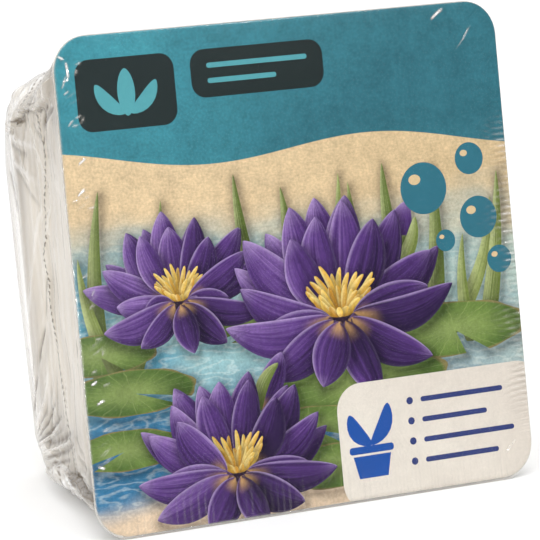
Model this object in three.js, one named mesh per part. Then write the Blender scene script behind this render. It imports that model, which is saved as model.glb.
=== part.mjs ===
// A planting kit for a pond plant: a tapered tub closed by a square printed card, with clear
// shrink film drawn tight round both. It stands on its lower side, so the card leans back.
// Millimetres, +Z up, card to the front (-Y), origin on the floor under the middle of the box.
import * as THREE from 'three';
import { mergeVertices } from 'three/addons/utils/BufferGeometryUtils.js';

// Driving dimensions. Inside the kit, y is the depth behind the card's printed face.
const CARD_SIDE = 195;
const CARD_CORNER = 14;
const CARD_THICK = 0.8;
const KIT_DEPTH = 100.3;
const LEAN = THREE.MathUtils.degToRad(10.5);
const TOUCH_GAP = 0.3;
const FILM_THICK = 0.4;
const FILM_SKIN = FILM_THICK + TOUCH_GAP;

// Film: a sleeve that tapers from just outside the card's edge to the tub's base.
const FILM_FRONT_HALF = CARD_SIDE / 2 + 1.1;
const FILM_FRONT_CORNER = CARD_CORNER + 1;
const FILM_BACK_CORNER = 19;
const FILM_EDGE_ROUND = 0.3;
const FILM_BACK_ROUND = 3;
const VENT_RADIUS = 3;
const GATHER_HEIGHT = 5;
const GATHER_DEPTH = 60;
const GATHER_REACH = 26;
const GATHER_FOLD = 1.4;
const GATHER_FOLD_PITCH = 17;
const SIDE_DRAW_IN = 1.2;
const UNDERSIDE = 3;

// Tub: a square planting tub with a turned-out rim and a recessed base.
const RIM_HALF = 95.5;
const RIM_CORNER = 23;
const RIM_LIP = 3.3;
const RIM_DROP = 4;
const TUB_WALL = 1.3;
const BASE_HALF = 79;
const BASE_CORNER = 18;
const BASE_EDGE = 2.5;
const BASE_FOOT = 7;
const BASE_RECESS = 1.2;

// How finely the rounded corners, the film's sides and its depth are divided.
const CORNER_STEPS = 8;
const CARD_CORNER_STEPS = 12;
const FILM_SIDE_STOPS = [0.08, 0.22, 0.4, 0.6, 0.78, 0.92];
const FILM_DEPTH_STEP = 8;
const FILM_DEPTH_STEPS = 11;
const SAME_POINT = 1e-5;

const cardPaper = new THREE.MeshStandardMaterial({ color: 0x3f8fa3, roughness: 0.5, metalness: 0 });
const tubPlastic = new THREE.MeshStandardMaterial({ color: 0xe6e0d8, roughness: 0.45, metalness: 0 });
const clearFilm = new THREE.MeshStandardMaterial({
  color: 0xf4f6f6, roughness: 0.12, metalness: 0, transparent: true, opacity: 0.3,
});

// One ring of a rounded square at depth y, anticlockwise seen from the front. Each point
// also keeps its outward normal, how far along its side it lies (0 to 1), and how far
// round its corner: 0 on the straight sides, 1 on the diagonal.
function squareRing(half, corner, y, sideStops = []) {
  const straight = half - corner;
  const points = [];
  for (let side = 0; side < 4; side += 1) {
    const cos = Math.round(Math.cos(side * Math.PI / 2));
    const sin = Math.round(Math.sin(side * Math.PI / 2));
    const place = (x, z, normalX, normalZ, along, diagonal) => points.push({
      x: x * cos - z * sin,
      y,
      z: x * sin + z * cos,
      normalX: normalX * cos - normalZ * sin,
      normalZ: normalX * sin + normalZ * cos,
      side, along, diagonal,
    });
    for (const stop of sideStops) {
      place(half, straight * (2 * stop - 1), 1, 0, stop, 0);
    }
    for (let step = 0; step <= CORNER_STEPS; step += 1) {
      const angle = step / CORNER_STEPS * Math.PI / 2;
      const normalX = Math.cos(angle);
      const normalZ = Math.sin(angle);
      place(straight + corner * normalX, straight + corner * normalZ,
        normalX, normalZ, 1, Math.sin(2 * angle));
    }
  }
  return points;
}

// A ring with as many points as squareRing, all on a circle.
function roundRing(radius, y, sideStops) {
  return squareRing(radius, radius / 2, y, sideStops).map((point) => {
    const length = Math.hypot(point.x, point.z);
    return { ...point, x: point.x / length * radius, z: point.z / length * radius };
  });
}

// A closed body through a list of rings, each end closed by a fan to a middle point.
function skinRings(rings) {
  const count = rings[0].length;
  const positions = [];
  const faces = [];
  for (const ring of rings) {
    for (const point of ring) positions.push(point.x, point.y, point.z);
  }
  for (let r = 0; r + 1 < rings.length; r += 1) {
    for (let i = 0; i < count; i += 1) {
      const next = (i + 1) % count;
      const a = r * count + i;
      const b = r * count + next;
      const c = a + count;
      const d = b + count;
      faces.push(a, c, b, b, c, d);
    }
  }
  const first = positions.length / 3;
  positions.push(0, rings[0][0].y, 0);
  const last = first + 1;
  positions.push(0, rings[rings.length - 1][0].y, 0);
  const lastRing = (rings.length - 1) * count;
  for (let i = 0; i < count; i += 1) {
    const next = (i + 1) % count;
    faces.push(first, i, next);
    faces.push(last, lastRing + next, lastRing + i);
  }
  const geometry = new THREE.BufferGeometry();
  geometry.setAttribute('position', new THREE.Float32BufferAttribute(positions, 3));
  geometry.setIndex(faces);
  return mergeVertices(geometry, SAME_POINT);
}

// The printed card: a rounded square of carton.
function makeCard() {
  const half = CARD_SIDE / 2;
  const straight = half - CARD_CORNER;
  const outline = new THREE.Shape();
  outline.absarc(straight, straight, CARD_CORNER, 0, Math.PI / 2);
  outline.absarc(-straight, straight, CARD_CORNER, Math.PI / 2, Math.PI);
  outline.absarc(-straight, -straight, CARD_CORNER, Math.PI, Math.PI * 1.5);
  outline.absarc(straight, -straight, CARD_CORNER, Math.PI * 1.5, Math.PI * 2);
  outline.closePath();
  const geometry = new THREE.ExtrudeGeometry(outline, {
    depth: CARD_THICK, bevelEnabled: false, curveSegments: CARD_CORNER_STEPS,
  });
  geometry.rotateX(Math.PI / 2);
  geometry.translate(0, CARD_THICK, 0);
  const card = new THREE.Mesh(geometry, cardPaper);
  card.name = 'card';
  return card;
}

// The tub: its rim faces the card, its base is the back of the kit.
function makeTub() {
  const rimFace = CARD_THICK + TOUCH_GAP;
  const baseFace = KIT_DEPTH - FILM_SKIN;
  const wallTop = RIM_HALF - RIM_LIP;
  const wallTopCorner = RIM_CORNER - RIM_LIP;
  const foot = BASE_HALF - BASE_EDGE - BASE_FOOT;
  const footCorner = BASE_CORNER - BASE_EDGE - BASE_FOOT;
  const recess = baseFace - BASE_RECESS;
  const floor = recess - TUB_WALL;
  const rings = [
    squareRing(foot, footCorner, recess),
    squareRing(foot + BASE_RECESS, footCorner + BASE_RECESS, baseFace),
    squareRing(BASE_HALF - BASE_EDGE, BASE_CORNER - BASE_EDGE, baseFace),
    squareRing(BASE_HALF, BASE_CORNER, baseFace - BASE_EDGE),
    squareRing(wallTop, wallTopCorner, rimFace + RIM_DROP),
    squareRing(RIM_HALF, RIM_CORNER, rimFace + RIM_DROP),
    squareRing(RIM_HALF, RIM_CORNER, rimFace),
    squareRing(wallTop - TUB_WALL, wallTopCorner - TUB_WALL, rimFace),
    squareRing(BASE_HALF - TUB_WALL, BASE_CORNER - TUB_WALL, floor - BASE_EDGE),
    squareRing(BASE_HALF - TUB_WALL - BASE_EDGE, BASE_CORNER - TUB_WALL - BASE_EDGE, floor),
  ];
  const tub = new THREE.Mesh(skinRings(rings.reverse()), tubPlastic);
  tub.name = 'tub';
  return tub;
}

// How far the film stands off its plain sleeve: bunched out at the corners, where the
// spare film of the shrunk seam gathers, and drawn in a little between them.
function standOff({ y, side, along, diagonal }) {
  if (diagonal > 0) {
    const swell = Math.exp(-(((y - GATHER_DEPTH) / GATHER_REACH) ** 2));
    const fold = Math.sin(y / GATHER_FOLD_PITCH * 2 * Math.PI + side);
    return (GATHER_HEIGHT + GATHER_FOLD * fold) * swell * diagonal;
  }
  const span = 4 * along * (1 - along);
  return side === UNDERSIDE ? 0 : -SIDE_DRAW_IN * span * Math.sin(Math.PI * y / KIT_DEPTH);
}

// Moves a point of the sleeve by its stand-off. At the lower corners the film bunches out
// sideways only, so the underside stays flat where it lies on the floor.
function pucker(point) {
  const move = standOff(point);
  return {
    ...point,
    x: point.x + point.normalX * move,
    z: point.z + Math.max(point.normalZ, 0) * move,
  };
}

// The film: a thin sleeve, closed front and back, with a small vent hole in the back.
function makeFilm() {
  const front = -FILM_SKIN;
  const back = KIT_DEPTH;
  const halfAt = (y) => FILM_FRONT_HALF - (y - front) * Math.tan(LEAN);
  const cornerAt = (y) => THREE.MathUtils.mapLinear(y, front, back, FILM_FRONT_CORNER, FILM_BACK_CORNER);
  const skin = (inset) => {
    const ring = (y, shrink) => squareRing(halfAt(y) - shrink - inset,
      cornerAt(y) - shrink - inset, y, FILM_SIDE_STOPS);
    const rings = [ring(front + inset, FILM_EDGE_ROUND), ring(FILM_EDGE_ROUND, 0)];
    for (let step = 1; step <= FILM_DEPTH_STEPS; step += 1) {
      rings.push(ring(step * FILM_DEPTH_STEP, 0).map(pucker));
    }
    rings.push(ring(back - FILM_BACK_ROUND, 0));
    rings.push(ring(back - inset, FILM_BACK_ROUND));
    rings.push(roundRing(VENT_RADIUS, back - inset, FILM_SIDE_STOPS));
    return rings;
  };
  const outside = skin(0);
  const inside = skin(FILM_THICK).reverse();
  const film = new THREE.Mesh(skinRings([...outside, ...inside]), clearFilm);
  film.name = 'film';
  return film;
}

// The kit is turned so that the film's lower side lies flat, then set over the origin: its
// frontmost line is the card's lower edge, its rearmost line the base's upper edge.
const kit = new THREE.Group();
kit.add(makeCard(), makeTub(), makeFilm());
kit.rotation.x = -LEAN;
const backHalf = FILM_FRONT_HALF - (KIT_DEPTH + FILM_SKIN) * Math.tan(LEAN);
const frontLine = -FILM_SKIN * Math.cos(LEAN) - (FILM_FRONT_HALF - FILM_EDGE_ROUND) * Math.sin(LEAN);
const backLine = KIT_DEPTH * Math.cos(LEAN) + (backHalf - FILM_BACK_ROUND) * Math.sin(LEAN);
const underside = FILM_SKIN * Math.sin(LEAN) - FILM_FRONT_HALF * Math.cos(LEAN);
kit.position.set(0, -(frontLine + backLine) / 2, -underside);

const object = new THREE.Group();
object.add(kit);
export default object;
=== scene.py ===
import itertools
import math

import bpy
import numpy as np
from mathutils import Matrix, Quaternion, Vector
from mathutils.geometry import delaunay_2d_cdt


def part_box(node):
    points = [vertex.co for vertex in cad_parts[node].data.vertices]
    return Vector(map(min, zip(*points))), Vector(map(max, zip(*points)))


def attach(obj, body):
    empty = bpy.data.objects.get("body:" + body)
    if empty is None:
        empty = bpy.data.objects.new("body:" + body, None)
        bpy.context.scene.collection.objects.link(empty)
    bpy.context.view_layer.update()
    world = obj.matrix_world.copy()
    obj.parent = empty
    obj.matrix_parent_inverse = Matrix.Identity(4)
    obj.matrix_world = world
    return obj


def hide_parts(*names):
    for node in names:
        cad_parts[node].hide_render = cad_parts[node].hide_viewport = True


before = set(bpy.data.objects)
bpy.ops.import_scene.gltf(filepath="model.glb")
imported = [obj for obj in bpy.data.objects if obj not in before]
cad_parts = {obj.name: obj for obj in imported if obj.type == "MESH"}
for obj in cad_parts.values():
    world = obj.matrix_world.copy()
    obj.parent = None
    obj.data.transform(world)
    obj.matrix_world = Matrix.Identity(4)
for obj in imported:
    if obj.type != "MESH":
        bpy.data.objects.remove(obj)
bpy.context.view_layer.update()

VIEW_TURN = math.radians(-26.25)
VIEW_RISE = math.radians(13.13)
VIEW_ROLL = math.radians(-0.7)
VIEW_DISTANCE = 1.433
VIEW_LENS = 232.8
VIEW_SENSOR = 36
VIEW_AIM = Vector((0.0096, 0.0, 0.0834))


def put(name, data):
    """Puts a new object into the scene."""
    thing = bpy.data.objects.new(name, data)
    bpy.context.scene.collection.objects.link(thing)
    return thing


def set_camera():
    """Sets the camera on its line of sight and turns it to the aim point."""
    back = Vector((math.sin(VIEW_TURN) * math.cos(VIEW_RISE),
                   -math.cos(VIEW_TURN) * math.cos(VIEW_RISE),
                   math.sin(VIEW_RISE)))
    camera = put("camera", bpy.data.cameras.new("camera"))
    camera.data.lens = VIEW_LENS
    camera.data.sensor_width = VIEW_SENSOR
    camera.location = VIEW_AIM + back * VIEW_DISTANCE
    camera.rotation_mode = "QUATERNION"
    camera.rotation_quaternion = (-back).to_track_quat("-Z", "Y") @ Quaternion((0, 0, 1), VIEW_ROLL)
    bpy.context.scene.camera = camera


set_camera()

# Card The printed card that closes the tub: one sheet of coated carton with rounded
# corners, printed in colour on the front and left grey on the back. The tub's rim holds
# it flat.
MM = 0.001
LEAN = math.radians(10.5)
CARD_SIDE = 195.0
CARD_HALF = CARD_SIDE / 2
CARD_CORNER = 14.0
CARD_THICK = 0.8
CARD_EDGE = 0.2
card_low, card_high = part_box("card")
card_middle = (card_low + card_high) / 2


def kit_points(spots):
    x, y, z = np.asarray(spots, float).reshape(-1, 3).T * MM
    y = y - CARD_THICK / 2 * MM
    return np.column_stack([
        x + card_middle.x,
        y * math.cos(LEAN) + z * math.sin(LEAN) + card_middle.y,
        z * math.cos(LEAN) - y * math.sin(LEAN) + card_middle.z,
    ])


def keep(mesh, name, kind, values, domain="POINT"):
    """Keeps a value at each point or corner of a mesh, under the name that its finish reads."""
    part = {"FLOAT": "value", "FLOAT_VECTOR": "vector", "FLOAT_COLOR": "color"}[kind]
    kept = mesh.attributes.new(name, kind, domain)
    kept.data.foreach_set(part, np.asarray(values, np.float32).ravel())


def make_piece(name, spots, faces, finishes, face_finish=None):
    mesh = bpy.data.meshes.new(name)
    mesh.from_pydata(kit_points(spots).tolist(), [], faces)
    keep(mesh, "place", "FLOAT_VECTOR", spots)
    for finish in finishes:
        mesh.materials.append(finish)
    if face_finish is not None:
        mesh.polygons.foreach_set("material_index", np.asarray(face_finish, np.int32))
    mesh.polygons.foreach_set("use_smooth", np.full(len(mesh.polygons), True))
    mesh.validate()
    mesh.update()
    return put(name, mesh)


def add_node(tree, kind, *values, **settings):
    """A new node with its settings, its inputs joined in turn to fields or given numbers."""
    node = tree.nodes.new("ShaderNode" + kind)
    for name, setting in settings.items():
        setattr(node, name, setting)
    for slot, value in zip(node.inputs, values):
        if isinstance(value, Field):
            tree.links.new(value.socket, slot)
        elif value is not None:
            slot.default_value = value
    return node


def work_out(tree, kind, *values, output=0, **settings):
    """The field that a new node works out from other fields and numbers."""
    return Field(tree, add_node(tree, kind, *values, **settings).outputs[output])


class Field:
    """A value that changes over a surface, kept as a shader socket one can reckon with."""

    def __init__(self, tree, socket):
        self.tree = tree
        self.socket = socket

    def reckon(self, operation, *values):
        """Joins numbers and fields by one arithmetic node."""
        return work_out(self.tree, "Math", *values, operation=operation)

    def __add__(self, other):
        return self.reckon("ADD", self, other)

    def __sub__(self, other):
        return self.reckon("SUBTRACT", self, other)

    def __rsub__(self, other):
        return self.reckon("SUBTRACT", other, self)

    def __mul__(self, other):
        return self.reckon("MULTIPLY", self, other)

    __radd__ = __add__
    __rmul__ = __mul__

    def sine(self):
        return self.reckon("SINE", self)

    def size(self):
        return self.reckon("ABSOLUTE", self)

    def most(self, other):
        return self.reckon("MAXIMUM", self, other)

    def power(self, other):
        return self.reckon("POWER", self, other)

    def rise(self, low, high):
        """A soft step from 0 at low to 1 at high."""
        return work_out(self.tree, "MapRange", self, low, high, interpolation_type="SMOOTHSTEP")

    def crest(self, middle, width):
        """1 where the field passes through a middle value, 0 beyond width from it."""
        return 1 - (self - middle).size().rise(0, width)

    def mix(self, first, second):
        """A colour that goes from first to second as this field goes from 0 to 1."""
        colours = [tone if isinstance(tone, Field) else (*tone, 1) for tone in (first, second)]
        plain_inputs = [None] * 5
        return work_out(self.tree, "Mix", self, *plain_inputs, *colours, output=2, data_type="RGBA")

    def times(self, colour):
        """A colour made lighter or darker by this field."""
        return work_out(self.tree, "VectorMath", colour, None, None, self, operation="SCALE")


class Finish:
    def __init__(self, name, roughness=0.5):
        self.material = bpy.data.materials.new(name)
        self.material.use_nodes = True
        self.tree = self.material.node_tree
        self.shader = self.tree.nodes["Principled BSDF"]
        self.shader.inputs["Roughness"].default_value = roughness
        self.place = self.kept("place", "Vector")
        self.x, self.y, self.z = self.parts(self.place)

    def kept(self, name, output):
        """A value kept on the mesh under a name."""
        return work_out(self.tree, "Attribute", output=output, attribute_name=name)

    def parts(self, vector):
        node = add_node(self.tree, "SeparateXYZ", vector)
        return [Field(self.tree, output) for output in node.outputs]

    def vector(self, *values):
        return work_out(self.tree, "CombineXYZ", *values)

    def unevenness(self, place, scale, detail):
        """Random unevenness between 0 and 1 over a vector field, scaled along each axis."""
        scaled = work_out(self.tree, "VectorMath", place, scale, operation="MULTIPLY")
        return work_out(self.tree, "TexNoise", scaled, None, 1, detail)

    def grain(self, size, stretch=(1, 1, 1), detail=2):
        return self.unevenness(self.place, [1 / (size * s) for s in stretch], detail)

    def streaks(self, count, length):
        """Streaks along a motif, about count from edge to edge, different on each one."""
        return self.unevenness(self.vector(self.u, self.v, self.tint), (length, count / 2, 40), 3)

    def specks(self, size, share):
        """Scattered flecks: 1 inside a fleck and 0 elsewhere."""
        cells = work_out(self.tree, "TexVoronoi", self.place, None, 1 / size, output="Distance")
        return 1 - cells.rise(share * 0.5, share)

    def feed(self, name, field):
        self.tree.links.new(field.socket, self.shader.inputs[name])

    def bump(self, height, depth, shader=None):
        """Raises the surface by the height field times a depth in millimetres."""
        node = add_node(self.tree, "Bump", 1, depth * MM)
        self.tree.links.new(height.socket, node.inputs["Height"])
        self.tree.links.new(node.outputs[0], (shader or self.shader).inputs["Normal"])

    def blend(self, share, first, second):
        """A shader that goes from first to second as the share goes from 0 to 1."""
        node = add_node(self.tree, "MixShader", share)
        self.tree.links.new(first.outputs[0], node.inputs[1])
        self.tree.links.new(second.outputs[0], node.inputs[2])
        return node


# Picture on the card
# A water garden printed in flat ink: a teal heading with a waved edge over bare kraft,
# blue water below it, three violet water lilies with their pads, and green reeds. The two
# dark plates hold a plain sprig and two strokes, the pale panel a pot and four bars. Every
# motif is only ink, so the card stays flat. They are laid from back to front.
HEADING_LEFT = 46.0
HEADING_SLOPE = -0.035
HEADING_SWELL = 4.2
HEADING_PITCH = 24.0
PAINTED_LIGHT = np.array((-0.6, 0.8))
LILY_LOOK = math.radians(36)
# Each ring of a lily's petals: count, length, rise in degrees, width. Each lily: place, reach, turn.
LILY_RINGS = ((11, 1.0, 8, 0.30), (10, 0.93, 30, 0.32), (8, 0.80, 56, 0.31))
LILIES = (((-54, -8), 39, 0.2), ((16, -22), 54, 0.5), ((-36, -78), 45, 0.95))
LILY_HEART = (0.17, 0.11)
# Each pad: place and half sizes.
BACK_PADS = ((-90, -26, 25, 8), (-20, -22, 24, 7), (66, -34, 34, 11), (22, -50, 40, 12),
             (-78, -42, 28, 9))
FRONT_PADS = ((-2, -66, 26, 9), (-82, -64, 24, 8), (8, -82, 28, 9))
PAD_GAP = 0.16
# Each reed or bud: root, tip, width, bend. A bud also has a tint, and sepals with their ends.
REEDS = (((-88, -46), (-84, 37), 8.5, 0.04), ((-82, -46), (-58, 31), 7.5, -0.05),
         ((-80, -40), (-95, 12), 7.0, 0.07), ((-16, -30), (-26, 38), 8.0, 0.03),
         ((-8, -30), (-6, 31), 8.5, -0.04), ((0, -30), (20, 34), 6.4, -0.07),
         ((50, -36), (40, 36), 9.6, 0.04), ((56, -38), (62, 33), 8.6, -0.03),
         ((60, -38), (88, 18), 7.6, -0.10), ((44, -36), (24, 30), 7.0, 0.07),
         ((80, -40), (92, 28), 7.8, -0.03), ((74, -40), (74, 4), 6.2, 0.05))
BUDS = (((38, -10), (50, 20), 13, 0.02, 0.7, (((48, 6), 0.14, 0.3), ((53, 13), -0.12, 0.5))),
        ((-24, -56), (-12, -34), 11, -0.02, 0.6, (((-14, -38), 0.14, 0.3),)))
# Each bubble: place and radius. The plates and the panel: place, half sizes, corner.
BUBBLES = ((58, 24, 10.5), (80, 34, 6.5), (82, 10, 8.5), (66, 2, 4.4), (90, -8, 5.6))
PLATES = ((-68, 74, 21, 14, 6), (-11, 78.5, 29, 9.5, 6))
PANEL = (57, -76, 47, 25.5, 11)
POT = (24, -80)
POT_OUTLINE = ((-6.5, -9), (6.5, -9), (8.5, 0), (-8.5, 0))
BAR_LENGTHS = (19, 15, 21, 17)
BAR_TOP = -60.5
BAR_PITCH = 8.2
STROKES = ((3.0, 22), (-3.0, 15))
OUTLINE_STEP = 1.6
draw = np.random.default_rng(11)
picture = []


def lay_motif(ink, outline, measure, shades=False):
    """Adds a motif in front of those already there. measure gives u, v and tint at points."""
    picture.append({"ink": ink, "outline": np.asarray(outline, float),
                    "measure": measure, "shades": shades})


def lay_blade(ink, root, tip, width, bend, fullness, point, tint, shades=True):
    """A leaf or petal from root to tip: u runs along it, v across it from edge to edge."""
    root = np.asarray(root, float)
    reach = np.asarray(tip, float) - root
    length = math.hypot(*reach)
    along = reach / length
    aside = np.array((-along[1], along[0]))
    fullest = fullness / (fullness + point)
    most = fullest ** fullness * (1 - fullest) ** point

    def half_width(t):
        return width / 2 * t ** fullness * (1 - t) ** point / most

    def middle(t):
        return bend * length * 4 * t * (1 - t)

    lit_side = np.sign(aside @ PAINTED_LIGHT)

    def measure(spots):
        t = np.clip((spots - root) @ along / length, 0, 1)
        across = (spots - root) @ aside - middle(t)
        v = np.clip(across / np.maximum(half_width(t), 0.15), -1, 1)
        return np.column_stack([t, v * lit_side, np.full(len(t), tint)])

    steps = max(8, round(length / OUTLINE_STEP))
    t = (1 - np.cos(np.linspace(0, math.pi, steps))) / 2
    spine = root + np.outer(t * length, along)
    left = spine + np.outer(middle(t) + half_width(t), aside)
    right = spine + np.outer(middle(t) - half_width(t), aside)
    lay_motif(ink, np.vstack([right, left[-2:0:-1]]), measure, shades)


def ring_points(x, z, half_x, half_z, steps):
    """An ellipse about x, z, anticlockwise."""
    turn = np.linspace(0, 2 * math.pi, steps, endpoint=False)
    return np.column_stack([x + half_x * np.cos(turn), z + half_z * np.sin(turn)])


def rounded_outline(half_x, half_z, corner, steps=8):
    """A rounded rectangle about the origin, anticlockwise."""
    turn = np.linspace(0, math.pi / 2, steps + 1)
    points = []
    for quarter, (sign_x, sign_z) in enumerate(((1, 1), (-1, 1), (-1, -1), (1, -1))):
        angle = turn + quarter * math.pi / 2
        points.append(np.column_stack([
            sign_x * (half_x - corner) + corner * np.cos(angle),
            sign_z * (half_z - corner) + corner * np.sin(angle)]))
    return np.vstack(points)


def lay_plain(ink, outline):
    """A motif of one even ink, with u and v as its place on the card."""
    lay_motif(ink, outline, lambda spots: np.insert(spots / 100, 2, 0.5, axis=1))


def lay_pad(x, z, half_x, half_z):
    """A floating lily pad: a round leaf in perspective with one notch. u is out from its heart."""
    notch = draw.uniform(-2.6, -0.6)
    turn = np.linspace(notch + PAD_GAP, notch + 2 * math.pi - PAD_GAP, round(half_x * 1.6))
    wave = 1 + 0.025 * np.sin(turn * 9 + notch)
    rim = np.column_stack([x + half_x * wave * np.cos(turn), z + half_z * wave * np.sin(turn)])
    heart = (x + 0.08 * half_x * math.cos(notch), z + 0.08 * half_z * math.sin(notch))
    tint = draw.uniform(0.2, 0.8)

    def measure(spots):
        out_x = (spots[:, 0] - x) / half_x
        out_z = (spots[:, 1] - z) / half_z
        return np.column_stack([out_x, out_z, np.full(len(spots), tint)])

    lay_motif("pad", np.vstack([rim, heart]), measure, shades=True)


def lay_lily(place, reach, turn):
    """An open lily seen from low over the water: back petals, golden stamens, front petals."""
    place = np.asarray(place, float)
    behind = []
    before = []
    for ring, (count, length, rise, width) in enumerate(LILY_RINGS):
        for k in range(count):
            way = 2 * math.pi * (k + ring / 2 + draw.uniform(-0.16, 0.16)) / count + turn
            back = math.sin(way)
            if ring == 2 and back < -0.15:
                continue
            lift = math.radians(rise + 9 * back + draw.uniform(-5, 5))
            long = length * draw.uniform(0.92, 1.06)
            flat = math.cos(lift) * long
            tip = np.array((flat * math.cos(way),
                            flat * back * math.sin(LILY_LOOK)
                            + long * math.sin(lift) * math.cos(LILY_LOOK)))
            root = 0.1 * np.array((math.cos(way), back * math.sin(LILY_LOOK)))
            group, order = (behind, ring) if back > 0 else (before, -ring)
            group.append((order, -back, root, tip, width * draw.uniform(0.88, 1.1), way))
    lay_petals(behind, place, reach)
    heart = ring_points(*place, LILY_HEART[0] * reach, LILY_HEART[1] * reach, 24)
    lay_motif("petal", heart, lambda spots: np.tile((0.26, 0.0, 0.1), (len(spots), 1)))
    lay_stamens(place, reach)
    lay_petals(before, place, reach)


def lay_petals(petals, place, reach):
    """Some petals of a lily, from the back to the front, the right ones in deeper shade."""
    for _, _, root, tip, width, way in sorted(petals, key=lambda petal: petal[:2]):
        light = 0.46 - 0.26 * math.cos(way) + 0.12 * math.sin(way) + draw.uniform(-0.2, 0.2)
        bend = -0.10 * math.cos(way) + draw.uniform(-0.05, 0.05)
        lay_blade("petal", place + root * reach, place + tip * reach, width * reach,
                  bend, 0.75, 0.8, np.clip(light, 0.03, 0.97))


def lay_stamens(place, reach):
    """The golden brush in the middle of a lily: an outer ring and a shorter inner one."""
    for length, count in ((0.33, 21), (0.22, 15)):
        ways = np.linspace(0, 2 * math.pi, count, endpoint=False)
        for way in sorted(ways, key=lambda way: -math.sin(way)):
            long = reach * length * draw.uniform(0.85, 1.15)
            tip = place + long * np.array((math.cos(way) * 0.8, math.sin(way) * 0.42 + 0.62))
            root = place + 0.05 * reach * np.array((math.cos(way), 0.5 * math.sin(way)))
            lay_blade("stamen", root, tip, 0.05 * reach, draw.uniform(-0.1, 0.1), 0.5, 0.45,
                      draw.uniform(0.1, 0.95))


def lay_bud(root, tip, width, bend, tint, sepals):
    """A closed bud: one petal from root to tip, and green sepals that end beside the tip."""
    lay_blade("petal", root, tip, width, bend, 0.7, 0.75, tint)
    for end, sepal_bend, sepal_tint in sepals:
        lay_blade("reed", root, end, width * 0.5, sepal_bend, 0.5, 0.6, sepal_tint)


def lay_picture():
    """Lays all motifs of the card from the back to the front."""
    for root, tip, width, bend in REEDS:
        lay_blade("reed", root, tip, width, bend, 0.12, 0.7, draw.uniform(0.1, 0.9))
    for pad in BACK_PADS:
        lay_pad(*pad)
    lay_lily(*LILIES[0])
    lay_bud(*BUDS[0])
    lay_lily(*LILIES[1])
    for pad in FRONT_PADS:
        lay_pad(*pad)
    lay_bud(*BUDS[1])
    lay_lily(*LILIES[2])
    for x, z, radius in BUBBLES:
        lay_plain("teal", ring_points(x, z, radius, radius, 56))
        shine = ring_points(x - 0.36 * radius, z + 0.36 * radius, 0.26 * radius, 0.2 * radius, 20)
        lay_plain("kraft", shine)
    lay_labels()


def lay_labels():
    """The dark plates with a sprig and strokes, and the pale panel with a pot and bars."""
    for x, z, half_x, half_z, corner in PLATES:
        lay_plain("plate", rounded_outline(half_x, half_z, corner) + (x, z))
    x, z = PLATES[0][:2]
    lay_blade("pale_teal", (x, z - 9), (x, z + 9.5), 7.5, 0, 0.6, 0.6, 0.5, False)
    for side in (-1, 1):
        lay_blade("pale_teal", (x + side * 1.2, z - 8), (x + side * 13, z + 4), 6, side * -0.1,
                  0.6, 0.6, 0.5, False)
    x, z = PLATES[1][:2]
    for row, length in STROKES:
        stroke = rounded_outline(length, 1.0, 0.95, 4) + (x + length - STROKES[0][1], z + row)
        lay_plain("pale_teal", stroke)
    x, z, half_x, half_z, corner = PANEL
    lay_plain("panel", rounded_outline(half_x, half_z, corner) + (x, z))
    x, z = POT
    lay_plain("blue", np.array(POT_OUTLINE) + POT)
    lay_plain("blue", rounded_outline(10, 1.5, 1.2, 4) + (x, z + 2.4))
    for side, height in ((-1, 17), (1, 20)):
        lay_blade("blue", (x, z + 4), (x + side * 9, z + height), 6.5, side * -0.12,
                  0.6, 0.6, 0.5, False)
    for row, length in enumerate(BAR_LENGTHS):
        bar_z = BAR_TOP - BAR_PITCH * row
        lay_plain("navy", ring_points(43, bar_z, 1.5, 1.5, 18))
        lay_plain("navy", rounded_outline(length, 1.05, 1.0, 4) + (48 + length, bar_z))


lay_picture()

# Cutting the card's face
# The card's face is one flat sheet of small triangles, parted along the outline of each
# motif. Every triangle takes the ink of the motif in front, and each of its corners keeps
# where it lies in that motif and how deep it lies in the painted shade of those before it.
FACE_STEP = 1.7
SHADE_REACH = 5.5
SHADE_SHIFT = (-0.8, 1.6)
BORDER_STEP = 2.0
BORDER_CORNER_STEPS = 10


def quarter_turned(points, times):
    """Flat points turned anticlockwise about the origin, by some quarter turns."""
    for _ in range(times):
        points = np.column_stack([-points[:, 1], points[:, 0]])
    return points


def card_border():
    """The outline of the card's printed face, anticlockwise, with points along its sides."""
    straight = np.arange(-CARD_HALF + CARD_CORNER, CARD_HALF - CARD_CORNER, BORDER_STEP)[1:]
    half = CARD_HALF - CARD_EDGE
    rounded = rounded_outline(half, half, CARD_CORNER - CARD_EDGE, BORDER_CORNER_STEPS)
    side = np.column_stack([-straight, np.full(len(straight), half)])
    pieces = []
    for quarter, corner in enumerate(np.split(rounded, 4)):
        pieces += [corner, quarter_turned(side, quarter)]
    return np.vstack(pieces)


def rounded_square_normal(spots, straight):
    """The outward direction of a rounded square's outline at points on it."""
    away = spots - np.clip(spots, -straight, straight)
    return away / np.linalg.norm(away, axis=1)[:, None]


def segment_distance(spots, starts, ends):
    """The distance of every point from the nearest of some segments."""
    run = ends - starts
    squared = np.maximum((run ** 2).sum(1), 1e-9)
    share = np.clip(((spots[:, None] - starts) * run).sum(2) / squared, 0, 1)
    nearest = starts + share[..., None] * run
    return np.sqrt(((spots[:, None] - nearest) ** 2).sum(2)).min(1)


def painted_shade(spots, corners, owner):
    """How deep each triangle corner lies in the painted shade of the motifs before it."""
    shade = np.zeros(len(corners))
    shifted = spots + SHADE_SHIFT
    for number, motif in enumerate(picture):
        if not motif["shades"]:
            continue
        outline = motif["outline"]
        near = np.flatnonzero(((shifted > outline.min(0) - SHADE_REACH)
                               & (shifted < outline.max(0) + SHADE_REACH)).all(1))
        depth = np.zeros(len(spots))
        distance = segment_distance(shifted[near], outline, np.roll(outline, -1, 0))
        depth[near] = np.clip(1 - distance / SHADE_REACH, 0, 1) ** 2
        shade = np.maximum(shade, depth[corners] * (owner < number))
    return shade


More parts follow.
